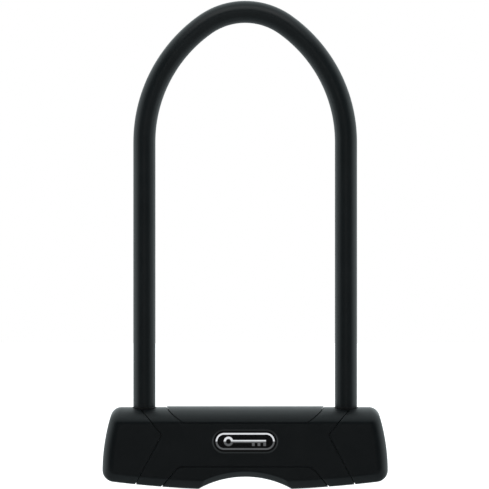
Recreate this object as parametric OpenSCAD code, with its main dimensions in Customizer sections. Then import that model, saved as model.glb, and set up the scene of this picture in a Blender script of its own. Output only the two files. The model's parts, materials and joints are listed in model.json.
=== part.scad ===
// U lock with a lift-out shackle, double bolting and a disc detainer cylinder.
// Millimetres. +X runs along the lock body, the badge faces -Y and the shackle stands up +Z.
// The origin is under the middle of the lock body, level with its lowest points.
// The rest pose is closed with the bolts drawn back, so the shackle is free to lift.

/* [Shackle] */
// Diameter of the bare steel bar
bar_d = 12; // [11.5:0.5:12.5]
// Thickness of the soft coating on the bar
coating_t = 0.5; // [0.4:0.1:0.6]
// Clear width between the coated legs
inside_w = 108; // [106:1:110]
// Clear height from the crown of the body to the inside of the bow
inside_h = 230.8; // [150:0.1:320]
// Radius of the bow's long side arcs, on the bar's centreline
bow_side_r = 86.5; // [80:0.5:92]
// Angle that each side arc turns through
bow_side_sweep = 56.2; // [50:0.1:60]

/* [Lock body] */
// Width of the lock body at its widest
body_w = 171; // [170:0.1:174]
// Height of the crown above the lowest points
crown_z = 48.8; // [48.6:0.1:50]
// Depth of the lock body, front to back
body_depth = 34; // [34:0.1:36]
// Height at which the curved crown meets the flat front
crease_z = 39.6; // [39.2:0.1:40]
// Height of the chamfered band along the bottom edge
band_h = 4.8; // [3:0.1:6]
// Gap along the seams between covers
seam_gap = 0.4; // [0.2:0.1:0.6]

/* [Key recess] */
// Radius of the arched recess under the body
arch_r = 57.4; // [54:0.1:62]
// Height of the top of the arch
arch_top_z = 7.26; // [7:0.01:7.4]

/* [Badge] */
// Length of the badge recess
badge_l = 38.4; // [37:0.1:42]
// Height of the badge recess
badge_h = 12.5; // [12:0.1:14.5]
// Height of the badge's centre
badge_z = 28.6; // [27:0.1:29]

/* [Mechanism] */
// Travel of each bolt
bolt_throw = 4; // [3.6:0.1:4]
// Number of detainer discs
disc_count = 8; // [6:1:8]
// Travel of the keyhole shutter
shutter_travel = 2.6; // [2.5:0.1:2.6]

/* [Hidden] */

$fn = 64;
bar_fn = 64;
cut = 1;
far = 100;
round_fn = 180;
wide_fn = 360;

// Shackle
bar_r = bar_d / 2;
coated_r = bar_r + coating_t;
leg_x = inside_w / 2 + coated_r;
bow_offset = bow_side_r - leg_x;
bow_apex_r = bow_side_r - bow_offset / cos(bow_side_sweep);
apex_rise = bow_offset * tan(bow_side_sweep);
bow_z = crown_z + inside_h + coated_r - bow_apex_r - apex_rise;
bow_joint = [0, bow_z + apex_rise] + bow_apex_r * [cos(bow_side_sweep), sin(bow_side_sweep)];
bow_joint_l = 1;
bow_joint_skin = 0.05;
foot_z = 13;
foot_chamfer = 1.2;
coating_z = 45;

// Lock body's outline, seen from the front
side_r = 118;
side_centre = [body_w / 2 - side_r, 10];
bottom_r = 648;
arch_half_w = sqrt(pow(arch_r, 2) - pow(arch_r - arch_top_z, 2));
bottom_centre = [0, sqrt(pow(bottom_r, 2) - pow(arch_half_w, 2))];
top_corner_r = 8;
bottom_corner_r = 7;
arch_centre_z = arch_top_z - arch_r;
half_depth = body_depth / 2;
crown_rise = crown_z - crease_z;
crown_r = (pow(half_depth, 2) + pow(crown_rise, 2)) / (2 * crown_rise);
plan_corner_r = 7.5;
band_inset = 3.5;
band_reach = 60;
band_sweep = 18;

// Seams, as points in front view with x measured from the middle
cap_seam = [[68.8, 55], [49.8, 32.6], [69.8, -5]];
bumper_bottom = [37.3, 39.8];
bumper_top = [49.2, 52];
surround_edge = [[55.4, -5], [41.6, 11.3], [39.5, 12.85], [37, 13.4]];

// Top bumper
bumper_t = 1.2;
bumper_proud = 0.5;
bumper_rise = crown_rise + bumper_proud;
bumper_r = (pow(half_depth, 2) + pow(bumper_rise, 2)) / (2 * bumper_rise);
bumper_bed_r = crown_r - bumper_t - 0.05;

// Leg holes and their seals
leg_hole_r = 7.5;
seal_r = 9.5;
seal_z = [43.1, 44.5];
leg_fit = 0.35;

// Steel case, a rounded rectangular tube along X
case_depth = 28.4;
case_z = [9, 43];
case_r = 5;
case_wall = 2.5;
case_half_l = 75.5;
end_plate_t = 2.5;
case_gap = 0.1;
case_mid_z = (case_z[0] + case_z[1]) / 2;
case_h = case_z[1] - case_z[0];
tube_half_l = case_half_l - end_plate_t;
end_wall = 2.6;

// Zinc blocks inside the case
block_gap = 0.1;
block_depth = case_depth - 2 * case_wall - 2 * block_gap;
block_h = case_h - 2 * case_wall - 2 * block_gap;
block_r = case_r - case_wall - block_gap;
block_z = case_z[0] + case_wall + block_gap;
socket_x = [46, tube_half_l - block_gap];
socket_floor_z = 12.4;
carrier_half_l = 20;
carrier_deck_z = 27.9;
carrier_post_x = 12;

// Bolts
bolt_z = [32.4, 39.2];
bolt_w = 10;
bolt_x = [2.5, leg_x - bar_r - 0.4];
bolt_chamfer = 0.8;
bolt_slip = 0.15;
notch_depth = bolt_throw + 0.2;
notch_spare = 0.8;
bolt_pin_r = 1;
bolt_pin_x = 4.6;
bolt_pin_z = [29.3, 35.4];

// Cylinder, on the Z axis
barrel_r = 9;
barrel_z = [7.6, 27.9];
plug_r = 6.5;
plug_fit = 0.08;
plug_bore_r = 5.3;
plug_z = [8.7, 29];
plug_bore_top_z = 26.4;
flange_r = 7.1;
flange_z = 7.5;
flange_room = 0.4;
spigot_z = 9.4;
disc_r = 5.22;
disc_t = 1.2;
disc_pitch = 1.72;
spacer_t = 0.45;
disc_z = 12.1;
drill_disc_z = [10.5, 12];
key_slot_w = 2.2;
key_slot_l = 6.8;
sidebar_r = 0.85;
sidebar_x = 5.35;
sidebar_z = [12.4, 26.1];
sidebar_room = 0.1;
circlip_z = [28, 28.6];
circlip_r = [6, 7.6];
tang_r = 2.2;
tang_half_w = 1.6;
shutter_z = [9.5, 10.3];
shutter_r = 5;
shutter_left_x = -1.4;
spring_r = [3.25, 3.5];
spring_x = 6;

// Cam disc
cam_z = [29, 31.8];
cam_r = 11.05;
cam_slot_r = bolt_pin_r + 0.15;
cam_end_room = 0.03;
cam_turn = 90;
cam_over = 2;
cam_step = 4;
cam_screw_r = 1;
cam_screw_head_r = 2.1;

// Screws and pins
screw_r = 1.5;
screw_head_r = 2.8;
screw_head_h = 1.3;
screw_fit = 0.05;
end_screw_z = [16, 36];
end_screw_l = 7.3;
carrier_screw_xy = [15, 7];
carrier_screw_l = 10;
barrel_pin_r = 1.25;
barrel_pin_x = [8, 16];
barrel_pin_z = 20;

// Badge, in layers from the recess floor out to the front face
badge_floor_y = -15.8;
badge_plate_y = -16.15;
badge_front_y = badge_plate_y - 0.6;
badge_slip = 0.2;
badge_ring_l = 35.4;
badge_ring_h = 10.2;
badge_stroke = 1.1;

cover_colour = [0.1, 0.11, 0.115];
rubber_colour = [0.06, 0.065, 0.07];
steel_colour = [0.62, 0.63, 0.65];
zinc_colour = [0.5, 0.51, 0.53];
brass_colour = [0.78, 0.62, 0.32];
bright_colour = [0.85, 0.86, 0.88];

// ---------- geometry helpers ----------

// The direction from one point to another
function unit(from, to) = (to - from) / norm(to - from);

// Centre of the circle of radius r that sits inside two larger circles and touches both
function nested_centre(c1, r1, c2, r2, r) =
    let (d = norm(c2 - c1))
    let (u = (c2 - c1) / d)
    let (a = (pow(r1 - r, 2) - pow(r2 - r, 2) + pow(d, 2)) / (2 * d))
    let (b = sqrt(pow(r1 - r, 2) - pow(a, 2)))
    c1 + a * u + b * [u[1], -u[0]];

top_corner_z = crown_z - top_corner_r;
top_corner_run = sqrt(pow(side_r - top_corner_r, 2) - pow(top_corner_z - side_centre[1], 2));
top_corner = [side_centre[0] + top_corner_run, top_corner_z];
bottom_corner = nested_centre(side_centre, side_r, bottom_centre, bottom_r, bottom_corner_r);

// Reflects front view points from one side to the other, in reverse order
function mirrored(points) =
    [for (i = [len(points) - 1 : -1 : 0]) [-points[i][0], points[i][1]]];

// Draws its children on both sides of the middle
module both_sides() {
    for (side = [0, 1]) mirror([side, 0, 0]) children();
}

// Stands a front view outline up and gives it a depth, centred on the XZ plane
module from_front(depth) {
    rotate([90, 0, 0]) linear_extrude(depth, center = true) children();
}

// Runs an end view outline, drawn as (y, z), from x0 to x1
module along_x(x0, x1) {
    translate([x0, 0, 0]) rotate([90, 0, 90]) linear_extrude(x1 - x0) children();
}

// A layer of a front view outline between two depths
module front_layer(y0, y1) {
    translate([0, y1, 0]) rotate([90, 0, 0]) linear_extrude(y1 - y0) children();
}

module rounded_rect(w, h, r) {
    square([w - 2 * r, h], center = true);
    square([w, h - 2 * r], center = true);
    for (x = [-1, 1], y = [-1, 1]) {
        translate([x * (w / 2 - r), y * (h / 2 - r)]) circle(r);
    }
}

// A slot with round ends, long in its second direction
module upright_slot(w, l) {
    square([w, l - w], center = true);
    for (end = [-1, 1]) translate([0, end * (l - w) / 2]) circle(w / 2);
}

module pill(l, h) {
    rotate(90) upright_slot(h, l);
}

// Countersunk screw along +Z, with its flat head's outer face at z = 0
module screw(l, grow = 0) {
    cylinder(r1 = screw_head_r + grow, r2 = screw_r + grow, h = screw_head_h);
    cylinder(r = screw_r + grow, h = l);
}

// ---------- shared shapes ----------

// Round bar of radius r along the shackle's path, from the height z0 up.
// A short core, just under the surface, ties each side arc to the apex arc.
module shackle_path(r, z0) {
    both_sides() {
        translate([leg_x, 0, z0]) cylinder(r = r, h = bow_z - z0);
        translate([-bow_offset, 0, bow_z]) rotate([90, 0, 0])
            rotate_extrude(angle = bow_side_sweep, $fn = round_fn)
                translate([bow_side_r, 0]) circle(r, $fn = bar_fn);
        translate([bow_joint[0], 0, bow_joint[1]]) rotate([0, -bow_side_sweep, 0])
            cylinder(r = r - bow_joint_skin, h = bow_joint_l, center = true);
    }
    translate([0, 0, bow_z + apex_rise]) rotate([90, 0, 0]) rotate([0, 0, bow_side_sweep])
        rotate_extrude(angle = 180 - 2 * bow_side_sweep, $fn = round_fn)
            translate([bow_apex_r, 0]) circle(r, $fn = bar_fn);
}

// Half of the straight-edged limit that trims the body's outline to chords at its corners
function corner_trim(inset) =
    let (side_top = unit(side_centre, top_corner))
    let (side_low = unit(side_centre, bottom_corner))
    let (low = unit(bottom_centre, bottom_corner))
    let (reach = side_r - inset)
    [
        [top_corner[0], crown_z - inset],
        side_centre + reach * side_top,
        side_centre + (reach + 10) * side_top,
        side_centre + (reach + 10) * side_low,
        side_centre + reach * side_low,
        bottom_centre + (bottom_r - inset) * low,
        bottom_centre + (bottom_r - inset + 10) * low
    ];

// The lock body seen from the front, drawn inset by a constant distance
module front_outline(inset = 0) {
    trim = corner_trim(inset);
    difference() {
        union() {
            intersection() {
                side_bulges(inset);
                translate(bottom_centre) circle(bottom_r - inset, $fn = 2 * wide_fn);
                polygon(concat(trim, mirrored(trim)));
            }
            for (side = [-1, 1]) {
                translate([side * top_corner[0], top_corner[1]]) circle(top_corner_r - inset);
                translate([side * bottom_corner[0], bottom_corner[1]])
                    circle(bottom_corner_r - inset);
            }
        }
        translate([0, arch_centre_z]) circle(arch_r + inset, $fn = round_fn);
    }
}

// What both bulging ends of the body have in common
module side_bulges(inset) {
    intersection() {
        translate(side_centre) circle(side_r - inset, $fn = wide_fn);
        translate([-side_centre[0], side_centre[1]]) circle(side_r - inset, $fn = wide_fn);
    }
}

// End view of the crown: flat sides up to an arc of radius r that peaks at top_z
module crown_profile(r, top_z) {
    intersection() {
        translate([-half_depth, -cut]) square([body_depth, top_z + 2 * cut]);
        union() {
            translate([0, top_z - r]) circle(r, $fn = round_fn);
            translate([-far, -far]) square([2 * far, far + top_z - r]);
        }
    }
}

// The outside of the lock body
module body_block() {
    intersection() {
        from_front(body_depth + cut) front_outline();
        along_x(-far, far) crown_profile(crown_r, crown_z);
        linear_extrude(crown_z + cut) rounded_rect(body_w, body_depth, plan_corner_r);
        bottom_band();
    }
}

// A wide ring segment whose rim follows the bowed bottom edge and is chamfered front and back
module bottom_band() {
    translate([0, 0, bottom_centre[1]]) rotate([90, 0, 0]) rotate([0, 0, 270 - band_sweep / 2])
        rotate_extrude(angle = band_sweep, $fn = 2 * wide_fn) polygon([
            [bottom_r - band_reach, -half_depth],
            [bottom_r - band_h, -half_depth],
            [bottom_r, band_inset - half_depth],
            [bottom_r, half_depth - band_inset],
            [bottom_r - band_h, half_depth],
            [bottom_r - band_reach, half_depth]
        ]);
}

// End view of the steel case, grown by a constant distance
module case_section(grow = 0) {
    translate([0, case_mid_z])
        rounded_rect(case_depth + 2 * grow, case_h + 2 * grow, case_r + grow);
}

// End view of the blocks that fill the case
module block_section() {
    translate([0, case_mid_z]) rounded_rect(block_depth, block_h, block_r);
}

// Room inside the covers for the case, with the hollow past its ends
module case_room() {
    intersection() {
        along_x(-far, far) case_section(case_gap);
        union() {
            translate([0, 0, case_mid_z])
                cube([2 * case_half_l, body_depth, case_h + cut], center = true);
            from_front(body_depth) front_outline(end_wall);
        }
    }
}

module leg_hole(r, z0, z1) {
    both_sides() translate([leg_x, 0, z0]) cylinder(r = r, h = z1 - z0);
}

// What is taken out of every cover: the case, the leg holes and the seats of their seals
module cover_cuts() {
    case_room();
    leg_hole(leg_hole_r, case_mid_z, crown_z + cut);
    leg_hole(seal_r + screw_fit, case_mid_z, seal_z[1] + screw_fit);
}

// The part of the front view that belongs to the right end cap
module cap_zone(shift = 0) {
    polygon([
        for (p = cap_seam) [p[0] - shift, p[1]],
        [far, cap_seam[2][1]],
        [far, cap_seam[0][1]]
    ]);
}

module bumper_zone(grow = 0) {
    low = [bumper_bottom[0] + grow, bumper_bottom[1] - grow];
    high = [bumper_top[0] + grow, bumper_top[1]];
    polygon([low, high, [-high[0], high[1]], [-low[0], low[1]]]);
}

module surround_zone(grow = 0) {
    edge = [for (p = surround_edge) [p[0] + grow, p[1] + grow]];
    polygon(concat(edge, mirrored(edge)));
}

module end_cap() {
    color(cover_colour) difference() {
        intersection() {
            body_block();
            from_front(body_depth + cut) cap_zone();
        }
        cover_cuts();
    }
}

module leg_seal() {
    color(rubber_colour) translate([leg_x, 0, seal_z[0]]) difference() {
        cylinder(r = seal_r, h = seal_z[1] - seal_z[0]);
        translate([0, 0, -cut]) cylinder(r = bar_r + leg_fit, h = 2 * cut + seal_z[1] - seal_z[0]);
    }
}

// Positions of the two screws in the right end plate, pointing inwards
module end_screw_places() {
    for (z = end_screw_z) {
        translate([case_half_l, 0, z]) rotate([0, -90, 0]) children();
    }
}

module end_plate() {
    color(steel_colour) difference() {
        along_x(tube_half_l, case_half_l) case_section();
        end_screw_places() screw(end_screw_l, screw_fit);
    }
}

// The channel that guides a bolt through the blocks
module bolt_channel() {
    translate([0, -bolt_w / 2 - bolt_slip, bolt_z[0] - bolt_slip])
        cube([leg_x, bolt_w + 2 * bolt_slip, bolt_z[1] - bolt_z[0] + 2 * bolt_slip]);
}

module leg_socket() {
    color(zinc_colour) difference() {
        along_x(socket_x[0], socket_x[1]) block_section();
        translate([leg_x, 0, socket_floor_z]) cylinder(r = bar_r + leg_fit, h = case_h);
        bolt_channel();
        end_screw_places() screw(end_screw_l + screw_fit, screw_fit);
    }
}

module bolt() {
    color(steel_colour) difference() {
        from_front(bolt_w) polygon([
            [bolt_x[0], bolt_z[0]],
            [bolt_x[1] - bolt_chamfer, bolt_z[0]],
            [bolt_x[1], bolt_z[0] + bolt_chamfer],
            [bolt_x[1], bolt_z[1] - bolt_chamfer],
            [bolt_x[1] - bolt_chamfer, bolt_z[1]],
            [bolt_x[0], bolt_z[1]]
        ]);
        translate([bolt_pin_x, 0, bolt_z[0] - cut])
            cylinder(r = bolt_pin_r, h = bolt_pin_z[1] - bolt_z[0] + cut);
    }
}

module bolt_pin() {
    color(bright_colour) translate([bolt_pin_x, 0, bolt_pin_z[0]])
        cylinder(r = bolt_pin_r, h = bolt_pin_z[1] - bolt_pin_z[0]);
}

// Point of the cam's spiral that holds the right bolt's pin when the plug has turned by a
function spiral_point(a) =
    (bolt_pin_x + bolt_throw * a / cam_turn) * [cos(a), -sin(a)];

// Unit normal to the spiral at the same point
function spiral_normal(a) =
    let (t = unit(spiral_point(a - 1), spiral_point(a + 1)))
    [-t[1], t[0]];

// One spiral slot of the cam disc
module spiral_slot() {
    angles = [for (a = [-cam_over : cam_step : cam_turn + cam_over + cam_step / 2]) a];
    last = angles[len(angles) - 1];
    polygon(concat(
        [for (a = angles) spiral_point(a) + cam_slot_r * spiral_normal(a)],
        [for (i = [len(angles) - 1 : -1 : 0])
            spiral_point(angles[i]) - cam_slot_r * spiral_normal(angles[i])]
    ));
    for (a = [angles[0], last]) translate(spiral_point(a)) circle(cam_slot_r + cam_end_room);
}

// The plug's two-flatted drive end, seen from above
module tang_outline(grow = 0) {
    intersection() {
        circle(tang_r + grow);
        square([2 * far, 2 * (tang_half_w + grow)], center = true);
    }
}

// A disc inside the plug, with the keyway and the sidebar's gate
module gated_disc(t, slot_w, slot_l) {
    linear_extrude(t) difference() {
        circle(disc_r);
        upright_slot(slot_w, slot_l);
        translate([sidebar_x, 0]) circle(sidebar_r + sidebar_room);
    }
}

module badge_pill(trim) {
    translate([0, badge_z]) pill(badge_l - 2 * trim, badge_h - 2 * trim);
}

// ---------- shackle ----------

module shackle_bar() {
    notch_x = leg_x - bar_r + notch_depth;
    color(steel_colour) difference() {
        union() {
            shackle_path(bar_r, foot_z + foot_chamfer);
            both_sides() translate([leg_x, 0, foot_z])
                cylinder(r1 = bar_r - foot_chamfer, r2 = bar_r, h = foot_chamfer);
        }
        both_sides() translate([notch_x - bar_d, -bar_d, bolt_z[0] - notch_spare])
            cube([bar_d, 2 * bar_d, bolt_z[1] - bolt_z[0] + 2 * notch_spare]);
    }
}

module shackle_sleeve() {
    color(cover_colour) difference() {
        shackle_path(coated_r, coating_z);
        shackle_path(bar_r, coating_z - cut);
    }
}

// ---------- covers ----------

module centre_cover() {
    color(cover_colour) difference() {
        body_block();
        both_sides() from_front(body_depth + 2 * cut) cap_zone(seam_gap);
        from_front(body_depth + 2 * cut) surround_zone(seam_gap / 2);
        cover_cuts();
        difference() {
            from_front(body_depth + 2 * cut) bumper_zone(seam_gap);
            along_x(-far, far) crown_profile(bumper_bed_r, crown_z - crown_r + bumper_bed_r);
        }
        front_layer(-half_depth - cut, badge_floor_y) badge_pill(0);
    }
}

module left_end_cap() {
    mirror([1, 0, 0]) end_cap();
}

module right_end_cap() {
    end_cap();
}

module top_bumper() {
    color(rubber_colour) intersection() {
        from_front(body_depth) bumper_zone();
        difference() {
            along_x(-far, far) crown_profile(bumper_r, crown_z + bumper_proud);
            along_x(-far - cut, far + cut) crown_profile(crown_r - bumper_t, crown_z - bumper_t);
        }
    }
}

module keyway_surround() {
    pocket_x = [14, 44];
    pocket_wall = 2.4;
    color(cover_colour) difference() {
        intersection() {
            body_block();
            from_front(body_depth + cut) surround_zone(-seam_gap / 2);
        }
        case_room();
        translate([0, 0, -cut]) cylinder(r = barrel_r + leg_fit, h = case_mid_z);
        both_sides() intersection() {
            from_front(case_depth) front_outline(pocket_wall);
            translate([pocket_x[0], -half_depth, -cut])
                cube([pocket_x[1] - pocket_x[0], body_depth, case_z[0] + 2 * cut]);
        }
    }
}

module badge_plate() {
    color("black") front_layer(badge_plate_y, badge_floor_y) badge_pill(badge_slip);
}

module badge_ring() {
    color(bright_colour) front_layer(badge_front_y, badge_plate_y) translate([0, badge_z])
        difference() {
            pill(badge_ring_l, badge_ring_h);
            pill(badge_ring_l - 2 * badge_stroke, badge_ring_h - 2 * badge_stroke);
        }
}

// A plain key pictogram: a round bow, a straight blade and three bits
module badge_emblem() {
    bow_r = 2.9;
    bow_x = -10;
    blade_l = 19.6;
    blade_h = 1.8;
    bit_w = 1.7;
    bit_h = 2.8;
    color(bright_colour) front_layer(badge_front_y, badge_plate_y) translate([0, badge_z])
        difference() {
            union() {
                translate([bow_x, 0]) circle(bow_r);
                translate([bow_x, -blade_h / 2]) square([bow_r + blade_l, blade_h]);
                for (i = [0 : 2]) {
                    translate([bow_x + bow_r + blade_l - (2 * i + 1) * bit_w, -bit_h])
                        square([bit_w, bit_h]);
                }
            }
            translate([bow_x, 0]) circle(bow_r / 2);
        }
}

module left_leg_seal() {
    mirror([1, 0, 0]) leg_seal();
}

module right_leg_seal() {
    leg_seal();
}

// ---------- case and blocks ----------

module steel_case() {
    color(steel_colour) difference() {
        along_x(-tube_half_l, tube_half_l) case_section();
        along_x(-far, far) case_section(-case_wall);
        leg_hole(bar_r + leg_fit, case_mid_z, case_z[1] + cut);
        translate([0, 0, case_z[0] - cut]) cylinder(r = barrel_r + case_gap, h = 2 * case_wall);
        carrier_screw_places() screw(carrier_screw_l, screw_fit);
    }
}

module left_end_plate() {
    mirror([1, 0, 0]) end_plate();
}

module right_end_plate() {
    end_plate();
}

module end_plate_screws() {
    color(bright_colour) both_sides() end_screw_places() screw(end_screw_l);
}

module left_leg_socket() {
    mirror([1, 0, 0]) leg_socket();
}

module right_leg_socket() {
    leg_socket();
}

// Positions of the screws that hold the carrier, pointing up through the case's floor
module carrier_screw_places() {
    for (x = [-1, 1], y = [-1, 1]) {
        translate([x * carrier_screw_xy[0], y * carrier_screw_xy[1], case_z[0]]) children();
    }
}

module carrier_screws() {
    color(bright_colour) carrier_screw_places() screw(carrier_screw_l);
}

module cylinder_carrier() {
    color(zinc_colour) difference() {
        along_x(-carrier_half_l, carrier_half_l) block_section();
        translate([-carrier_post_x, -half_depth, carrier_deck_z])
            cube([2 * carrier_post_x, body_depth, case_h]);
        cylinder(r = barrel_r + screw_fit, h = case_h);
        both_sides() bolt_channel();
        both_sides() barrel_pin_shape(screw_fit, carrier_half_l + cut);
        carrier_screw_places() screw(carrier_screw_l + screw_fit, screw_fit);
    }
}

// ---------- cylinder ----------

// One cross pin between the barrel and the carrier, reaching out to x1
module barrel_pin_shape(grow, x1) {
    translate([barrel_pin_x[0] - grow, 0, barrel_pin_z]) rotate([0, 90, 0])
        cylinder(r = barrel_pin_r + grow, h = x1 - barrel_pin_x[0] + grow);
}

module barrel_pins() {
    color(steel_colour) both_sides() barrel_pin_shape(0, barrel_pin_x[1]);
}

module lock_barrel() {
    color(brass_colour) difference() {
        translate([0, 0, barrel_z[0]]) cylinder(r = barrel_r, h = barrel_z[1] - barrel_z[0]);
        cylinder(r = plug_r + plug_fit, h = case_h);
        cylinder(r = flange_r + flange_room, h = plug_z[0] + case_gap);
        both_sides() barrel_pin_shape(screw_fit, barrel_pin_x[1]);
        translate([0, plug_r, sidebar_z[0] - sidebar_room])
            cylinder(r = sidebar_r + sidebar_room, h = sidebar_z[1] - sidebar_z[0] + 2 * sidebar_room);
    }
}

module plug_core() {
    groove = circlip_z[1] - circlip_z[0];
    color(steel_colour) difference() {
        union() {
            translate([0, 0, plug_z[0]]) cylinder(r = plug_r, h = plug_z[1] - plug_z[0]);
            linear_extrude(cam_z[1]) tang_outline();
        }
        translate([0, 0, -cut]) cylinder(r = plug_bore_r, h = plug_bore_top_z + cut);
        translate([plug_bore_r - cut, -sidebar_r - sidebar_room, sidebar_z[0] - sidebar_room])
            cube([plug_r, 2 * (sidebar_r + sidebar_room),
                sidebar_z[1] - sidebar_z[0] + 2 * sidebar_room]);
        translate([0, 0, circlip_z[0]]) difference() {
            cylinder(r = plug_r + cut, h = groove);
            cylinder(r = circlip_r[0], h = groove);
        }
        translate([0, 0, plug_bore_top_z + cut])
            cylinder(r = cam_screw_r + screw_fit, h = case_h);
    }
}

module plug_face() {
    color(steel_colour) difference() {
        union() {
            translate([0, 0, flange_z]) cylinder(r = flange_r, h = plug_z[0] - flange_z);
            translate([0, 0, flange_z]) cylinder(r = disc_r, h = spigot_z - flange_z);
        }
        linear_extrude(case_h) upright_slot(key_slot_w, key_slot_l);
    }
}

module anti_drill_disc() {
    color(bright_colour) translate([0, 0, drill_disc_z[0]])
        linear_extrude(drill_disc_z[1] - drill_disc_z[0]) difference() {
            circle(disc_r);
            upright_slot(key_slot_w, key_slot_l);
        }
}

module detainer_discs() {
    color(brass_colour) for (i = [0 : disc_count - 1]) {
        translate([0, 0, disc_z + i * disc_pitch])
            gated_disc(disc_t, key_slot_w + 0.4, key_slot_l + 0.2);
    }
}

module disc_spacers() {
    gap = (disc_pitch - disc_t - spacer_t) / 2;
    color(bright_colour) for (i = [0 : disc_count - 1]) {
        translate([0, 0, disc_z + i * disc_pitch + disc_t + gap])
            gated_disc(spacer_t, key_slot_w + 0.8, key_slot_l + 0.6);
    }
}

module sidebar() {
    color(bright_colour) translate([sidebar_x, 0, sidebar_z[0]])
        cylinder(r = sidebar_r, h = sidebar_z[1] - sidebar_z[0]);
}

// Retaining ring with an open side
module plug_circlip() {
    opening = 3;
    color(steel_colour) translate([0, 0, circlip_z[0]])
        linear_extrude(circlip_z[1] - circlip_z[0]) difference() {
            circle(circlip_r[1]);
            circle(circlip_r[0]);
            translate([0, -opening / 2]) square([2 * circlip_r[1], opening]);
        }
}

// A round plate cut down so that it can slide sideways inside the plug
module keyhole_shutter() {
    color(steel_colour) translate([0, 0, shutter_z[0]])
        linear_extrude(shutter_z[1] - shutter_z[0]) intersection() {
            circle(shutter_r);
            translate([-shutter_travel, 0]) circle(shutter_r);
            translate([shutter_left_x, -far]) square([far, 2 * far]);
        }
}

// A bowed leaf that pushes the shutter back over the keyway
module shutter_spring() {
    color(bright_colour) translate([0, 0, shutter_z[0] + screw_fit])
        linear_extrude(shutter_z[1] - shutter_z[0] - 2 * screw_fit) intersection() {
            circle(disc_r);
            translate([spring_x, 0]) difference() {
                circle(spring_r[1]);
                circle(spring_r[0]);
            }
        }
}

// ---------- cam and bolts ----------

module cam_disc() {
    color(steel_colour) translate([0, 0, cam_z[0]]) linear_extrude(cam_z[1] - cam_z[0])
        difference() {
            circle(cam_r);
            tang_outline(screw_fit);
            spiral_slot();
            rotate(180) spiral_slot();
        }
}

module cam_screw() {
    head_h = 1.4;
    shank_l = 4;
    color(bright_colour) {
        translate([0, 0, cam_z[1]]) cylinder(r = cam_screw_head_r, h = head_h);
        translate([0, 0, cam_z[1] - shank_l]) cylinder(r = cam_screw_r, h = shank_l + head_h);
    }
}

module left_bolt() {
    mirror([1, 0, 0]) bolt();
}

module right_bolt() {
    bolt();
}

module left_bolt_pin() {
    mirror([1, 0, 0]) bolt_pin();
}

module right_bolt_pin() {
    bolt_pin();
}

shackle_bar();
shackle_sleeve();
centre_cover();
left_end_cap();
right_end_cap();
top_bumper();
keyway_surround();
badge_plate();
badge_ring();
badge_emblem();
left_leg_seal();
right_leg_seal();
steel_case();
left_end_plate();
right_end_plate();
end_plate_screws();
left_leg_socket();
right_leg_socket();
cylinder_carrier();
carrier_screws();
lock_barrel();
barrel_pins();
plug_core();
plug_face();
anti_drill_disc();
detainer_discs();
disc_spacers();
sidebar();
plug_circlip();
keyhole_shutter();
shutter_spring();
cam_disc();
cam_screw();
left_bolt();
right_bolt();
left_bolt_pin();
right_bolt_pin();
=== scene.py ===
"""Looks of the U lock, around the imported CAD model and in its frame.

Shapes are worked out in millimetres and handed to the frame in metres.
"""

import json
import math

import bmesh
import bpy
from mathutils import Matrix, Vector


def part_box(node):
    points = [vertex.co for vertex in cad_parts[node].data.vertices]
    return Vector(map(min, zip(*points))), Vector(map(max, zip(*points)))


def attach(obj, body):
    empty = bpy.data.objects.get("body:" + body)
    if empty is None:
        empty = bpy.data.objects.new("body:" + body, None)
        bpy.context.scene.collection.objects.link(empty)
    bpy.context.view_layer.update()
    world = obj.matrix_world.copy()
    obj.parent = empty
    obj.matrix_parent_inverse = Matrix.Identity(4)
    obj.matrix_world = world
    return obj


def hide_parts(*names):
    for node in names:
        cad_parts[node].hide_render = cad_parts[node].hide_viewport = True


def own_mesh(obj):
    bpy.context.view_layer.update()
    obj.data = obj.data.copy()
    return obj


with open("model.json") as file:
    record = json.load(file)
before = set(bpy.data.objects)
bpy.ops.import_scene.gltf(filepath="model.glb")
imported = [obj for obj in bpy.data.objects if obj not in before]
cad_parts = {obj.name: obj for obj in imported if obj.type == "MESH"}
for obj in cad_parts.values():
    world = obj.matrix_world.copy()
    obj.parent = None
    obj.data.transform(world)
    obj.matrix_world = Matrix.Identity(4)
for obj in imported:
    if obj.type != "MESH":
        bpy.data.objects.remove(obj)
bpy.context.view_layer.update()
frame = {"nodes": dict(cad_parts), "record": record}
nodes = frame["nodes"]

MM = 0.001

# Kinds of face, kept as material indices until a piece is finished
KINDS = 5
SKIN, CUT, HOLLOW, RIM, NOTCH = range(KINDS)

# Lock body in millimetres: the CAD model's values, with corners fitted more closely
HALF_DEPTH = 17.0
HALF_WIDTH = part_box("right_end_cap")[1].x / MM
CROWN_Z = 48.8
CROWN_R = 20.307
CROWN_FILLET = 3.0
SIDE_R = 118.0
SIDE_C = (HALF_WIDTH - SIDE_R, 10.0)
BOTTOM_R = 648.0
BOTTOM_CZ = 647.395
ARCH_R = 57.4
ARCH_TOP = 7.26
ARCH_CZ = ARCH_TOP - ARCH_R
TOP_CORNER = 6.5
BOTTOM_CORNER = 7.0
LEAST_CORNER = 1.5
PLAN_CORNER = 7.5
BAND_H = 5.4
BAND_IN = 3.9
ARCH_BAND_H = 3.5
BAND_LOW_FILLET = 1.2
BAND_TOP_FILLET = 3.0

# Seams: half the gap, the gap round the bumper, and the lap under the next cover
GAP = 0.2
NOTCH_GAP = 0.32
LAP_DEPTH = 0.9
LAP_FIT = 0.03

# Rounded edges: width and steps
SEAM_SOFT = (0.42, 3)
NOTCH_SOFT = (0.12, 2)
RIM_SOFT = (0.45, 3)
BUMPER_SOFT = (0.35, 3)
MARK_SOFT = (0.07, 2)

# Beyond the lock body on every side, for cutting right through it
FAR_X = 100.0
FAR_Y = 40.0
BELOW, ABOVE = -5.0, 55.0

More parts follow.
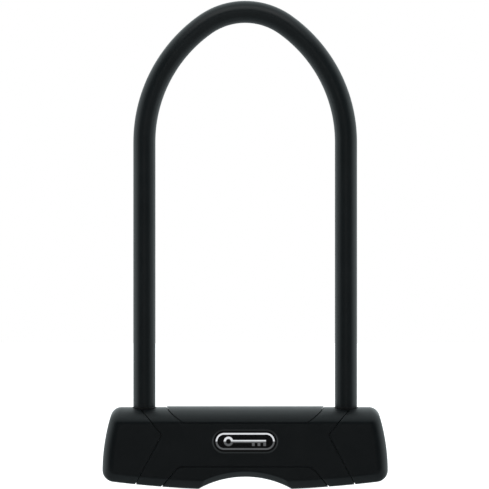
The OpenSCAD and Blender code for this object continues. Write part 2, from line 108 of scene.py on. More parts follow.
# Seams in front view, as (x, z)
CAP_SEAM = [(68.8, ABOVE), (49.8, 32.6), (69.8, BELOW)]
CAP_SEAM_R = 2.5
BUMPER_SIDE = [
    (49.2, 52.0),
    (46.5, 48.3),
    (45.4, 46.6),
    (43.1, 44.4),
    (40.4, 42.2),
    (37.3, 39.8),
]
SURROUND = [(55.4, BELOW), (39.77, 13.4), (-39.77, 13.4), (-55.4, BELOW)]
SURROUND_R = 6.0

# Leg holes, with the seat of the seal (radius, top) and the lip that stands up from it
LEG_X = 60.5
LEG_HOLE_R = 7.7
SEAL_SEAT_R, SEAL_SEAT_TOP = 9.55, 44.55
SEAL_SEAT_FLOOR = 20.0
LEG_CUT_TOP = 60.0
LIP_BORE_R = 6.78
LIP_TOP = 48.74
LIP_FIT = 0.07
LIP_LIFT = 0.05
LIP_CHAMFER = 0.2

# Room for the steel case: depth, height and corner radius; and for the cylinder
CASE_HALF_L = 75.6
CASE_Z = 26.0
CASE_ROOM = (28.6, 34.2, 5.1)
CYLINDER_HOLE_R = 9.35

# Bumper on the crown
BUMPER_R = 19.747
BUMPER_PROUD = 0.5
BUMPER_T = 1.2
BUMPER_FIT = 0.05
BUMPER_HALF_L = 70.0
BED_HALF_L = 80.0

# Shackle
COATED_R = 6.65
BAR_R = 6.0
COATING_Z = 45.0
BOW_Z = 207.72
BOW_SIDE_R = 86.5
BOW_SWEEP = math.radians(54.594)

# Badge
BADGE_Z = 28.6
BADGE_L = 39.6
BADGE_H = 14.4
BADGE_FLOOR_Y = -15.8
BADGE_PLATE_Y = -16.3
BADGE_FRONT_Y = -16.75
RING_L = 35.4
RING_H = 10.2
STROKE = 1.1
RIDGE_SLOPE = 0.05
BEZEL_SLOPE = 1.25
BEZEL_EDGE = 0.05
MARK_SINK = 0.05
MARK_CUT_Y = -30.0
KEY_BOW_X, KEY_BOW_R = -10.0, 2.9
BLADE_L, BLADE_H = 19.6, 1.8
BIT_W, BIT_H = 1.7, 2.8


# ---------- plane geometry ----------


def arc(cx, cz, r, a0, a1, steps):
    """Points of an arc from angle a0 to a1, both ends included."""
    angles = [a0 + (a1 - a0) * i / steps for i in range(steps + 1)]
    return [(cx + r * math.cos(a), cz + r * math.sin(a)) for a in angles]


def circle(cx, cz, r, steps):
    """Points of a full circle, each one once."""
    return arc(cx, cz, r, 0, 2 * math.pi - 2 * math.pi / steps, steps - 1)


def line(p, q, steps):
    """Points from p to q, without q."""
    dx, dz = q[0] - p[0], q[1] - p[1]
    return [(p[0] + dx * i / steps, p[1] + dz * i / steps) for i in range(steps)]


def mirrored(points):
    return [(-x, z) for x, z in reversed(points)]


def rounded(points, radii, steps=6):
    """An open line with the corners in radii, index to radius, turned into arcs."""
    out = []
    for i, p in enumerate(points):
        if i not in radii:
            out.append(p)
            continue
        a = Vector(points[i - 1]) - Vector(p)
        b = Vector(points[i + 1]) - Vector(p)
        a.normalize()
        b.normalize()
        half = a.angle(b) / 2
        r = radii[i]
        centre = Vector(p) + (a + b).normalized() * (r / math.sin(half))
        start = Vector(p) + a * (r / math.tan(half)) - centre
        end = Vector(p) + b * (r / math.tan(half)) - centre
        turn = math.atan2(start.x * end.y - start.y * end.x, start.dot(end))
        base = math.atan2(start.y, start.x)
        out += arc(centre.x, centre.y, r, base, base + turn, steps)
    return out


def offset(points, d):
    """An open line moved to its left by d, with mitred corners."""
    out = []
    for i, p in enumerate(points):
        last = max(i, 1)
        here = min(i, len(points) - 2)
        before = Vector(points[last]) - Vector(points[last - 1])
        after = Vector(points[here + 1]) - Vector(points[here])
        n0 = Vector((-before.y, before.x)).normalized()
        n1 = Vector((-after.y, after.x)).normalized()
        n = (n0 + n1).normalized()
        out.append((p[0] + n.x * d / n.dot(n0), p[1] + n.y * d / n.dot(n0)))
    return out


def pill(length, height, steps=24):
    """A closed stadium outline round the badge's centre."""
    r = height / 2
    h = length / 2 - r
    right = arc(h, BADGE_Z, r, -math.pi / 2, math.pi / 2, steps)
    left = arc(-h, BADGE_Z, r, math.pi / 2, 3 * math.pi / 2, steps)
    return right + left


# ---------- meshes, in millimetres until they are finished ----------


def make(name, vertices, faces, index=SKIN):
    """A closed solid whose faces are all of one kind."""
    mesh = bpy.data.meshes.new(name)
    mesh.from_pydata(vertices, [], faces)
    for _ in range(KINDS):
        mesh.materials.append(None)
    mesh.polygons.foreach_set("material_index", [index] * len(faces))
    bm = bmesh.new()
    bm.from_mesh(mesh)
    bmesh.ops.remove_doubles(bm, verts=bm.verts, dist=1e-5)
    bmesh.ops.recalc_face_normals(bm, faces=bm.faces)
    bm.to_mesh(mesh)
    bm.free()
    obj = bpy.data.objects.new(name, mesh)
    bpy.context.scene.collection.objects.link(obj)
    return obj


def stack(loops):
    """Vertices and faces of a closed solid through loops of equally many points."""
    n = len(loops[0])
    vertices = [p for loop in loops for p in loop]
    faces = [
        (k * n + i, k * n + (i + 1) % n, (k + 1) * n + (i + 1) % n, (k + 1) * n + i)
        for k in range(len(loops) - 1)
        for i in range(n)
    ]
    faces += [tuple(reversed(range(n))), tuple(range((len(loops) - 1) * n, len(loops) * n))]
    return vertices, faces


def prism_y(outline, y0, y1, index=CUT):
    """An outline in front view, given depth along Y."""
    return make("cutter", *stack([[(x, y, z) for x, z in outline] for y in (y0, y1)]), index)


def prism_x(section, half_length, index=CUT):
    """A section in end view, run along X."""
    ends = (-half_length, half_length)
    return make("cutter", *stack([[(x, y, z) for y, z in section] for x in ends]), index)


def lathe(cx, profile, index=CUT, around=64):
    """A profile of (radius, z) turned round a vertical axis at x = cx, closed at both ends."""
    turns = [2 * math.pi * i / around for i in range(around)]
    loops = [[(cx + r * math.cos(t), r * math.sin(t), z) for t in turns] for r, z in profile]
    return make("cutter", *stack(loops), index)


def bake(obj):
    """Applies the modifiers of an object."""
    graph = bpy.context.evaluated_depsgraph_get()
    mesh = bpy.data.meshes.new_from_object(obj.evaluated_get(graph))
    old = obj.data
    obj.modifiers.clear()
    obj.data = mesh
    bpy.data.meshes.remove(old)


def discard(obj):
    mesh = obj.data
    bpy.data.objects.remove(obj)
    bpy.data.meshes.remove(mesh)


def boolean(obj, cutter, operation):
    """Joins, cuts or crosses obj with the cutter, which is used up."""
    modifier = obj.modifiers.new("boolean", "BOOLEAN")
    modifier.operation = operation
    modifier.solver = "EXACT"
    modifier.material_mode = "INDEX"
    modifier.object = cutter
    bake(obj)
    discard(cutter)


def duplicate(obj, name):
    other = bpy.data.objects.new(name, obj.data.copy())
    bpy.context.scene.collection.objects.link(other)
    return other


def soften(obj, widths):
    """Rounds the edges between the visible skin and other faces: width and steps for each kind."""
    weld, sliver, weld_after = 0.02, 0.01, 0.005
    flat_angle = math.radians(0.3)
    least_angle = math.radians(38)
    bm = bmesh.new()
    bm.from_mesh(obj.data)
    bmesh.ops.remove_doubles(bm, verts=bm.verts, dist=weld)
    bmesh.ops.dissolve_degenerate(bm, edges=bm.edges, dist=sliver)
    bmesh.ops.dissolve_limit(
        bm, angle_limit=flat_angle, verts=bm.verts, edges=bm.edges, delimit={"MATERIAL"}
    )
    for kind, (width, segments) in widths.items():
        edges = [
            e
            for e in bm.edges
            if len(e.link_faces) == 2
            and sorted(f.material_index for f in e.link_faces) == [SKIN, kind]
            and e.calc_face_angle(0) > least_angle
        ]
        bmesh.ops.bevel(
            bm,
            geom=edges,
            offset=width,
            offset_type="OFFSET",
            segments=segments,
            profile=0.5,
            affect="EDGES",
            clamp_overlap=False,
            material=SKIN,
        )
    bmesh.ops.remove_doubles(bm, verts=bm.verts, dist=weld_after)
    for vertex in bm.verts:
        vertex.co.y = max(-HALF_DEPTH, min(HALF_DEPTH, vertex.co.y))
    bm.to_mesh(obj.data)
    bm.free()


def finish_piece(obj, name, body, slot, *replaced, sharp=40.0, weighted=True):
    """Scales a piece to metres, shades it smooth up to the sharp angle and hands it to the frame."""
    obj.name = name
    mesh = obj.data
    mesh.name = name
    mesh.transform(Matrix.Scale(MM, 4))
    bm = bmesh.new()
    bm.from_mesh(mesh)
    for face in bm.faces:
        face.smooth = True
        face.material_index = 0
    for edge in bm.edges:
        edge.smooth = len(edge.link_faces) == 2 and edge.calc_face_angle(0) < math.radians(sharp)
    bm.to_mesh(mesh)
    bm.free()
    mesh.materials.clear()
    mesh.materials.append(looks[slot])
    if weighted:
        modifier = obj.modifiers.new("weighted", "WEIGHTED_NORMAL")
        modifier.keep_sharp = True
        modifier.weight = 60
    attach(obj, body)
    if replaced:
        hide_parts(*replaced)
    return obj


# ---------- materials ----------


class Shader:
    """A Principled material with helpers for procedural inputs in object space."""

    def __init__(self, name, metallic=0.0, specular=0.5):
        self.material = bpy.data.materials.new(name)
        self.material.use_nodes = True
        self.tree = self.material.node_tree
        self.bsdf = self.tree.nodes["Principled BSDF"]
        self.bsdf.inputs["Metallic"].default_value = metallic
        self.bsdf.inputs["IOR"].default_value = 1.5
        self.bsdf.inputs["Specular IOR Level"].default_value = specular
        self.bsdf.inputs["Coat Weight"].default_value = 0.0
        self.place = self.tree.nodes.new("ShaderNodeTexCoord").outputs["Object"]
        self.normal = None

    def link(self, a, b):
        self.tree.links.new(a, b)

    def mapping(self, scale):
        node = self.tree.nodes.new("ShaderNodeMapping")
        node.inputs["Scale"].default_value = scale
        self.link(self.place, node.inputs["Vector"])
        return node.outputs["Vector"]

    def noise(self, scale, detail=3.0, roughness=0.55, stretch=(1, 1, 1), distortion=0.0):
        node = self.tree.nodes.new("ShaderNodeTexNoise")
        node.inputs["Scale"].default_value = scale
        node.inputs["Detail"].default_value = detail
        node.inputs["Roughness"].default_value = roughness
        node.inputs["Distortion"].default_value = distortion
        self.link(self.mapping(stretch), node.inputs["Vector"])
        return node.outputs["Fac"]

    def cells(self, scale):
        node = self.tree.nodes.new("ShaderNodeTexVoronoi")
        node.inputs["Scale"].default_value = scale
        self.link(self.place, node.inputs["Vector"])
        return node.outputs["Distance"]

    def rings(self, scale):
        """Turning marks round the Z axis."""
        node = self.tree.nodes.new("ShaderNodeTexWave")
        node.wave_type = "RINGS"
        node.rings_direction = "Z"
        node.inputs["Scale"].default_value = scale
        node.inputs["Distortion"].default_value = 0.6
        node.inputs["Detail"].default_value = 2.0
        self.link(self.place, node.inputs["Vector"])
        return node.outputs["Fac"]

    def colour(self, value, low, high):
        node = self.tree.nodes.new("ShaderNodeValToRGB")
        node.color_ramp.elements[0].position = 0.35
        node.color_ramp.elements[1].position = 0.65
        node.color_ramp.elements[0].color = (*low, 1)
        node.color_ramp.elements[1].color = (*high, 1)
        self.link(value, node.inputs["Fac"])
        self.link(node.outputs["Color"], self.bsdf.inputs["Base Color"])

    def roughness(self, value, low, high, start=0.3, end=0.7):
        node = self.tree.nodes.new("ShaderNodeMapRange")
        node.inputs["From Min"].default_value = start
        node.inputs["From Max"].default_value = end
        node.inputs["To Min"].default_value = low
        node.inputs["To Max"].default_value = high
        self.link(value, node.inputs["Value"])
        self.link(node.outputs["Result"], self.bsdf.inputs["Roughness"])

    def bump(self, value, strength, depth_mm):
        node = self.tree.nodes.new("ShaderNodeBump")
        node.inputs["Strength"].default_value = strength
        node.inputs["Distance"].default_value = depth_mm * MM
        self.link(value, node.inputs["Height"])
        if self.normal is not None:
            self.link(self.normal, node.inputs["Normal"])
        self.normal = node.outputs["Normal"]
        self.link(self.normal, self.bsdf.inputs["Normal"])


def soft_plastic(name, low, high, rough, grain, grain_depth, specular):
    """Moulded plastic or rubber: a fine grain under a satin finish, with faint waviness."""
    s = Shader(name, specular=specular)
    s.colour(s.noise(55, 4), low, high)
    s.roughness(s.noise(140, 5, 0.65, distortion=0.4), *rough)
    s.bump(s.noise(grain, 2, 0.6), 0.5, grain_depth)
    s.bump(s.noise(28, 2), 0.25, 0.05)
    return s.material


def metal(name, low, high, rough, stretch=(1, 1, 1), scale=900, depth=0.01, ring_scale=None):
    """Machined metal: drawn or ground marks along an axis, or turning marks round one."""
    s = Shader(name, metallic=1.0)
    s.colour(s.noise(45, 5, 0.6), low, high)
    marks = s.rings(ring_scale) if ring_scale else s.noise(scale, 4, 0.7, stretch)
    s.roughness(marks, *rough, start=0.2, end=0.8)
    s.bump(marks, 0.35, depth)
    s.bump(s.noise(160, 3), 0.2, 0.02)
    return s.material


def cast():
    """Die-cast zinc: grey, grainy and a little pitted."""
    s = Shader("die_cast_zinc", metallic=1.0)
    s.colour(s.noise(70, 6, 0.7), (0.36, 0.365, 0.38), (0.5, 0.505, 0.52))
    s.roughness(s.noise(420, 5, 0.7), 0.42, 0.62)
    s.bump(s.noise(650, 5, 0.7), 0.5, 0.05)
    s.bump(s.cells(210), 0.25, 0.05)
    return s.material


def polished_black():
    """The badge's glossy plate."""
    s = Shader("gloss_black")
    s.colour(s.noise(60, 3), (0.0024, 0.0026, 0.0028), (0.0032, 0.0034, 0.0036))
    s.roughness(s.noise(260, 5, 0.7), 0.05, 0.1)
    s.bump(s.noise(90, 2), 0.1, 0.004)
    return s.material


def chrome():
    """The badge's bright marks, faintly brushed along X."""
    s = Shader("badge_chrome", metallic=1.0)
    s.colour(s.noise(300, 3), (0.68, 0.70, 0.73), (0.75, 0.76, 0.78))
    s.roughness(s.noise(900, 4, 0.7, (0.15, 1, 1)), 0.04, 0.09)
    s.bump(s.noise(700, 2), 0.08, 0.002)
    return s.material


# Darkest and lightest colour, roughness, scale and depth in mm of the grain, specular level
SOFT_FINISHES = {
    "cover_plastic": (
        (0.0030, 0.0050, 0.0061),
        (0.0044, 0.0064, 0.0075),
        (0.30, 0.36),
        2600,
        0.03,
        0.34,
    ),
    "soft_coating": (
        (0.0050, 0.0078, 0.0090),
        (0.0068, 0.0098, 0.0110),
        (0.30, 0.36),
        1500,
        0.02,
        0.4,
    ),
    "bumper_rubber": (
        (0.0050, 0.0068, 0.0080),
        (0.0068, 0.0086, 0.0098),
        (0.31, 0.38),
        3200,
        0.04,
        0.38,
    ),
    "seal_rubber": (
        (0.0040, 0.0045, 0.0049),
        (0.0055, 0.0061, 0.0065),
        (0.55, 0.68),
        3000,
        0.05,
        0.3,
    ),
}

# Darkest and lightest colour and roughness, then the marks
METAL_FINISHES = {
    "hardened_steel": (
        ((0.40, 0.405, 0.42), (0.50, 0.505, 0.52), (0.24, 0.40)),
        {"stretch": (1, 1, 0.04), "scale": 1400},
    ),
    "screw_steel": (
        ((0.54, 0.55, 0.57), (0.64, 0.65, 0.66), (0.18, 0.34)),
        {"scale": 1200},
    ),
    "cylinder_brass": (
        ((0.60, 0.43, 0.17), (0.70, 0.52, 0.23), (0.20, 0.36)),
        {"ring_scale": 420},
    ),
    "nickel_plate": (
        ((0.58, 0.565, 0.53), (0.67, 0.655, 0.62), (0.16, 0.30)),
        {"ring_scale": 520, "depth": 0.006},
    ),
    "shutter_steel": (
        ((0.26, 0.27, 0.28), (0.36, 0.37, 0.38), (0.26, 0.42)),
        {"stretch": (0.05, 1, 1), "scale": 1400},
    ),
}

looks = {name: soft_plastic(name, *finish) for name, finish in SOFT_FINISHES.items()}
for name, (tones, marks) in METAL_FINISHES.items():
    looks[name] = metal(name, *tones, **marks)
looks["die_cast_zinc"] = cast()
looks["gloss_black"] = polished_black()
looks["badge_chrome"] = chrome()

for part in frame["record"]["subparts"]:
    mesh = nodes[part["node"]].data
    mesh.materials.clear()
    mesh.materials.append(looks[part["material_slot"]])


# ---------- lock body ----------


def side_inset(y):
    """How far the ends draw in at a depth y, from the rounded corners seen from above."""
    start = HALF_DEPTH - PLAN_CORNER
    past = max(abs(y) - start, 0)
    return PLAN_CORNER - math.sqrt(max(PLAN_CORNER**2 - past**2, 0))


def band_rise(y):
    """How far the bottom edge rises at a depth y: a chamfer with both its edges rounded."""
    y = abs(y)
    slope = math.atan2(BAND_H, BAND_IN)
    low = HALF_DEPTH - BAND_IN - BAND_LOW_FILLET * math.tan(slope / 2)
    if y <= low:
        return 0.0
    if y <= low + BAND_LOW_FILLET * math.sin(slope):
        return BAND_LOW_FILLET - math.sqrt(BAND_LOW_FILLET**2 - (y - low) ** 2)
    reach = BAND_TOP_FILLET * math.tan((math.pi / 2 - slope) / 2)
    if y <= HALF_DEPTH - reach * math.cos(slope):
        return (y - HALF_DEPTH + BAND_IN) * math.tan(slope)
    past = y - HALF_DEPTH + BAND_TOP_FILLET
    return BAND_H + reach - math.sqrt(max(BAND_TOP_FILLET**2 - past**2, 0))


def crown(y):
    """Height of the top at a depth y: the crown's arc, then a fillet into the flat front."""
    y = abs(y)
    centre_z = CROWN_Z - CROWN_R
    fillet_y = HALF_DEPTH - CROWN_FILLET
    fillet_z = centre_z + math.sqrt((CROWN_R - CROWN_FILLET) ** 2 - fillet_y**2)
    tangent_y = fillet_y * CROWN_R / (CROWN_R - CROWN_FILLET)
    if y <= tangent_y:
        return centre_z + math.sqrt(CROWN_R**2 - y**2)
    return fillet_z + math.sqrt(max(CROWN_FILLET**2 - (y - fillet_y) ** 2, 0))


def body_loop(y, shrink=0.0):
    """The body's outline at a depth y, or that of a body smaller by shrink all round."""
    inset = side_inset(y)
    rise = band_rise(y)
    top = crown(y) - shrink
    side_r = SIDE_R - inset - shrink
    sx, sz = SIDE_C
    tr = max(TOP_CORNER - inset, LEAST_CORNER)
    tz = top - tr
    tx = sx + math.sqrt((side_r - tr) ** 2 - (tz - sz) ** 2)
    top_a = math.atan2(tz - sz, tx - sx)
    br = max(BOTTOM_CORNER - inset * (BOTTOM_CORNER - LEAST_CORNER) / PLAN_CORNER, LEAST_CORNER)
    floor_r = BOTTOM_R - rise - shrink
    # the bottom corner's centre is side_r - br from the side's centre
    # and floor_r - br from the bottom's
    gap = Vector((-sx, BOTTOM_CZ - sz))
    d = gap.length
    along = ((side_r - br) ** 2 - (floor_r - br) ** 2 + d * d) / (2 * d)
    across = math.sqrt((side_r - br) ** 2 - along**2)
    u = gap.normalized()
    bx = sx + along * u.x + across * u.y
    bz = sz + along * u.y - across * u.x
    low_a = math.atan2(bz - sz, bx - sx)
    floor_a = math.atan2(bz - BOTTOM_CZ, bx)
    arch_r = ARCH_R + rise * ARCH_BAND_H / BAND_H + shrink
    meet_z = (floor_r**2 - arch_r**2 - BOTTOM_CZ**2 + ARCH_CZ**2) / (2 * (ARCH_CZ - BOTTOM_CZ))
    meet_x = math.sqrt(arch_r**2 - (meet_z - ARCH_CZ) ** 2)
    floor_end = math.atan2(meet_z - BOTTOM_CZ, meet_x)
    arch_a = math.atan2(meet_z - ARCH_CZ, meet_x)
    half = line((0, top), (tx, top), 10)
    half += arc(tx, tz, tr, math.pi / 2, top_a, 9)
    half += arc(sx, sz, side_r, top_a, low_a, 12)[1:]
    half += arc(bx, bz, br, low_a, floor_a, 8)[1:]
    half += arc(0, BOTTOM_CZ, floor_r, floor_a, floor_end, 10)[1:]
    half += arc(0, ARCH_CZ, arch_r, arch_a, math.pi / 2, 12)[1:]
    whole = half + mirrored(half[1:-1])
    return [(x, y * (1 - shrink / HALF_DEPTH), z) for x, z in whole]


def body_depths():
    """Depths of the loops, closer together where the surface turns."""
    flat = HALF_DEPTH - PLAN_CORNER
    turns = (0, 12, 23, 33, 42, 50, 58, 65, 71.5, 78, 90)
    turned = [flat + PLAN_CORNER * math.sin(math.radians(a)) for a in turns]
    inner = [flat * i / 4 for i in range(-3, 4)]
    return [-y for y in reversed(turned)] + inner + turned


def straight_cut(outline, index=CUT):
    """A cutter with an outline in front view, right through the body."""
    return prism_y(outline, -FAR_Y, FAR_Y, index)


body = make("body", *stack([body_loop(y) for y in body_depths()]))
core = make("core", *stack([body_loop(y, LAP_DEPTH) for y in body_depths()]), HOLLOW)

cap_line = rounded(CAP_SEAM, {1: CAP_SEAM_R})
surround_line = rounded(SURROUND, {1: SURROUND_R, 2: SURROUND_R})
bumper_line = BUMPER_SIDE + mirrored(BUMPER_SIDE)

# the seam lines run downwards on the right, so their left is the outer side
beyond_end = [(FAR_X, BELOW), (FAR_X, ABOVE)]
cap_zone = offset(cap_line, GAP) + beyond_end
cap_inner = offset(cap_line, -GAP)
cover_zone = cap_inner + offset(surround_line, -GAP) + mirrored(cap_inner)
surround_zone = offset(surround_line, GAP)
cap_lap_zone = offset(cap_line, LAP_FIT - GAP) + beyond_end
surround_lap_zone = offset(surround_line, LAP_FIT - GAP)


def leg_cut(side):
    """A leg's hole with the seat of its seal below."""
    seat = [(SEAL_SEAT_R, SEAL_SEAT_FLOOR), (SEAL_SEAT_R, SEAL_SEAT_TOP)]
    hole = [(LEG_HOLE_R, SEAL_SEAT_TOP), (LEG_HOLE_R, LEG_CUT_TOP)]
    return lathe(side * LEG_X, seat + hole, RIM)


def case_cut():
    """Room for the steel case."""
    depth, height, r = CASE_ROOM
    section = []
    for sy, sz, start in ((1, 1, 0), (-1, 1, 90), (-1, -1, 180), (1, -1, 270)):
        y, z = sy * (depth / 2 - r), CASE_Z + sz * (height / 2 - r)
        section += arc(y, z, r, math.radians(start), math.radians(start + 90), 6)
    return prism_x(section, CASE_HALF_L, HOLLOW)


def crown_bed():
    """The solid under the bumper, which the bumper's notch leaves standing."""
    r = CROWN_R - BUMPER_T - BUMPER_FIT
    return prism_x(circle(0, CROWN_Z - CROWN_R, r, 128), BED_HALF_L)


cover = duplicate(body, "cover")
boolean(cover, straight_cut(cover_zone), "INTERSECT")
notch = straight_cut(offset(bumper_line, NOTCH_GAP), NOTCH)
boolean(notch, crown_bed(), "DIFFERENCE")
boolean(cover, notch, "DIFFERENCE")
boolean(cover, case_cut(), "DIFFERENCE")
for side in (-1, 1):
    boolean(cover, leg_cut(side), "DIFFERENCE")
boolean(cover, prism_y(pill(BADGE_L, BADGE_H), -FAR_Y, BADGE_FLOOR_Y, HOLLOW), "DIFFERENCE")
soften(cover, {CUT: SEAM_SOFT, NOTCH: NOTCH_SOFT, RIM: RIM_SOFT})


def add_lap(obj, zone):
    """A lip under the neighbouring cover, so that the seam is a groove and not a slit."""
    lap = duplicate(core, "lap")
    boolean(lap, straight_cut(zone, HOLLOW), "INTERSECT")
    boolean(obj, lap, "UNION")


cap = duplicate(body, "cap")
boolean(cap, straight_cut(cap_zone), "INTERSECT")
add_lap(cap, cap_lap_zone)
boolean(cap, case_cut(), "DIFFERENCE")
boolean(cap, leg_cut(1), "DIFFERENCE")
soften(cap, {CUT: SEAM_SOFT, RIM: RIM_SOFT})
other_cap = duplicate(cap, "other_cap")
other_cap.data.transform(Matrix.Scale(-1, 4, (1, 0, 0)))
other_cap.data.flip_normals()

surround = body
boolean(surround, straight_cut(surround_zone), "INTERSECT")
add_lap(surround, surround_lap_zone)
discard(core)
boolean(surround, case_cut(), "DIFFERENCE")
boolean(surround, lathe(0, [(CYLINDER_HOLE_R, -10), (CYLINDER_HOLE_R, 30)]), "DIFFERENCE")
soften(surround, {CUT: SEAM_SOFT})

bumper_half = math.asin(HALF_DEPTH / BUMPER_R)
outer_z = CROWN_Z + BUMPER_PROUD - BUMPER_R
inner_r = CROWN_R - BUMPER_T
inner_half = math.asin(HALF_DEPTH / inner_r)
up = math.pi / 2
section = arc(0, outer_z, BUMPER_R, up - bumper_half, up + bumper_half, 28)
section += arc(0, CROWN_Z - CROWN_R, inner_r, up + inner_half, up - inner_half, 28)
bumper = prism_x(section, BUMPER_HALF_L, SKIN)
boolean(bumper, straight_cut(bumper_line), "INTERSECT")
soften(bumper, {CUT: BUMPER_SOFT})


def leg_lip(side, name):
    """The lip of the rubber seal, which stands in the leg hole up to the crown."""
    outer = LEG_HOLE_R - LIP_FIT
    profile = [
        (outer, SEAL_SEAT_TOP + LIP_LIFT),
        (outer, LIP_TOP - LIP_CHAMFER),
        (outer - LIP_CHAMFER, LIP_TOP),
    ]
    lip = lathe(side * LEG_X, profile, SKIN)
    bore = lathe(side * LEG_X, [(LIP_BORE_R, SEAL_SEAT_FLOOR), (LIP_BORE_R, LEG_CUT_TOP)])
    boolean(lip, bore, "DIFFERENCE")
    finish_piece(lip, name, "lock_body", "seal_rubber")


leg_lip(-1, "left_leg_seal_lip")
leg_lip(1, "right_leg_seal_lip")
finish_piece(cover, "centre_cover_shell", "lock_body", "cover_plastic", "centre_cover")
finish_piece(cap, "right_end_cap_shell", "lock_body", "cover_plastic", "right_end_cap")
finish_piece(other_cap, "left_end_cap_shell", "lock_body", "cover_plastic", "left_end_cap")
finish_piece(surround, "keyway_surround_shell", "lock_body", "cover_plastic", "keyway_surround")
finish_piece(bumper, "top_bumper_pad", "lock_body", "bumper_rubber", "top_bumper")


# ---------- badge ----------


def ridge_slab():
    """A slab whose front has two faces that slope back from a ridge at mid-height."""
    reach = BADGE_H / 2
    back_y = BADGE_PLATE_Y + MARK_SINK
    edge_y = BADGE_FRONT_Y + reach * RIDGE_SLOPE
    low, high = BADGE_Z - reach, BADGE_Z + reach
    front = [(edge_y, low), (BADGE_FRONT_Y, BADGE_Z), (edge_y, high)]
    back = [(back_y, high), (back_y, low)]
    return prism_x(front + back, BADGE_L / 2, SKIN)


def badge_cut(outline):
    """A cutter with an outline in front view, through the badge's bright marks."""
    return prism_y(outline, MARK_CUT_Y, 0)


def key_blade():
    """The key's blade with three square bits on its lower side."""
    tip = KEY_BOW_X + KEY_BOW_R + BLADE_L
    low, high = BADGE_Z - BLADE_H / 2, BADGE_Z + BLADE_H / 2
    outline = [(KEY_BOW_X, low), (KEY_BOW_X, high), (tip, high)]
    for i in range(3):
        right = tip - 2 * i * BIT_W
        left = right - BIT_W
        outline += [(right, BADGE_Z - BIT_H), (left, BADGE_Z - BIT_H), (left, low)]
        if i < 2:
            outline.append((right - 2 * BIT_W, low))
    return outline


plate = prism_y(
    pill(BADGE_L - 2 * LAP_FIT, BADGE_H - 2 * LAP_FIT), -HALF_DEPTH, BADGE_FLOOR_Y, SKIN
)
dish = []
for y in (-HALF_DEPTH - 0.5, BADGE_PLATE_Y):
    inset = BEZEL_EDGE + BEZEL_SLOPE * (HALF_DEPTH + y)
    outline = pill(BADGE_L - 2 * inset, BADGE_H - 2 * inset)
    dish.append([(x, y, z) for x, z in outline])
boolean(plate, make("cutter", *stack(dish)), "DIFFERENCE")
finish_piece(plate, "badge_plate_gloss", "lock_body", "gloss_black", "badge_plate", sharp=30)

ring = ridge_slab()
boolean(ring, badge_cut(pill(RING_L, RING_H)), "INTERSECT")
boolean(ring, badge_cut(pill(RING_L - 2 * STROKE, RING_H - 2 * STROKE)), "DIFFERENCE")
soften(ring, {CUT: MARK_SOFT})
finish_piece(ring, "badge_ring_bright", "lock_body", "badge_chrome", "badge_ring", sharp=4)

key = badge_cut(circle(KEY_BOW_X, BADGE_Z, KEY_BOW_R, 48))
boolean(key, badge_cut(key_blade()), "UNION")
key_hole = prism_y(circle(KEY_BOW_X, BADGE_Z, KEY_BOW_R / 2, 32), MARK_CUT_Y - 1, 1)
boolean(key, key_hole, "DIFFERENCE")
emblem = ridge_slab()
boolean(emblem, key, "INTERSECT")
soften(emblem, {CUT: MARK_SOFT})
finish_piece(emblem, "badge_key_mark", "lock_body", "badge_chrome", "badge_emblem", sharp=4)


# ---------- shutter spring ----------

# the leaf spring beside the shutter, copied with a mesh of its own and carried with the plug
spring = duplicate(nodes["shutter_spring"], "shutter_leaf_spring")
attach(spring, "plug")
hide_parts("shutter_spring")
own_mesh(spring)


# ---------- shackle sleeve ----------


def sleeve_path():
    """Centre line of the shackle as (x, z, direction), from the right leg's lip to the left one's."""
    bow_offset = BOW_SIDE_R - LEG_X
    rise = bow_offset * math.tan(BOW_SWEEP)
    apex_r = BOW_SIDE_R - bow_offset / math.cos(BOW_SWEEP)
    quarter = math.pi / 2
    half = [(LEG_X, COATING_Z + (BOW_Z - COATING_Z) * i / 24, quarter) for i in range(24)]
    for i in range(30):
        a = BOW_SWEEP * i / 30
        x = -bow_offset + BOW_SIDE_R * math.cos(a)
        half.append((x, BOW_Z + BOW_SIDE_R * math.sin(a), a + quarter))
    for i in range(25):
        a = BOW_SWEEP + (quarter - BOW_SWEEP) * i / 24
        half.append((apex_r * math.cos(a), BOW_Z + rise + apex_r * math.sin(a), a + quarter))
    other = [(-x, z, 2 * math.pi - a) for x, z, a in reversed(half[:-1])]
    return half + other


def ring_at(x, z, a, r, around=56):
    """A circle of radius r across the path at (x, z), whose direction there is a."""
    out = []
    for i in range(around):
        t = 2 * math.pi * i / around
        across, depth = r * math.cos(t), r * math.sin(t)
        out.append((x + across * math.sin(a), depth, z - across * math.cos(a)))
    return out


def lip_profile():
    """Radius and height of the coating's lower end, from the bar out round its edge."""
    edge_r = 0.7
    bore_r = BAR_R - 0.08
    profile = [(bore_r, 4.0), (bore_r, 0.35), (BAR_R + 0.05, 0.05)]
    for t in (math.radians(d) for d in (20, 40, 60, 78)):
        profile.append((COATED_R - edge_r + edge_r * math.sin(t), edge_r - edge_r * math.cos(t)))
    return profile


path = sleeve_path()
ends = lip_profile()
first, last = path[0], path[-1]
loops = [ring_at(first[0], COATING_Z + up, first[2], r) for r, up in ends]
loops += [ring_at(x, z, a, COATED_R) for x, z, a in path[1:-1]]
loops += [ring_at(last[0], COATING_Z + up, last[2], r) for r, up in reversed(ends)]
sleeve = make("sleeve", *stack(loops))
finish_piece(
    sleeve,
    "shackle_sleeve_coating",
    "shackle",
    "soft_coating",
    "shackle_sleeve",
    weighted=False,
)


# ---------- stage, in metres ----------

# The width in view at the object, the middle of the view, and the lens
FRAME_W = 0.2935
FRAME_CENTRE = (-0.0004, 0.1463)
LENS, SENSOR = 500.0, 36.0

FLOOR_R = 6.0
FLOOR_Z = -0.0003

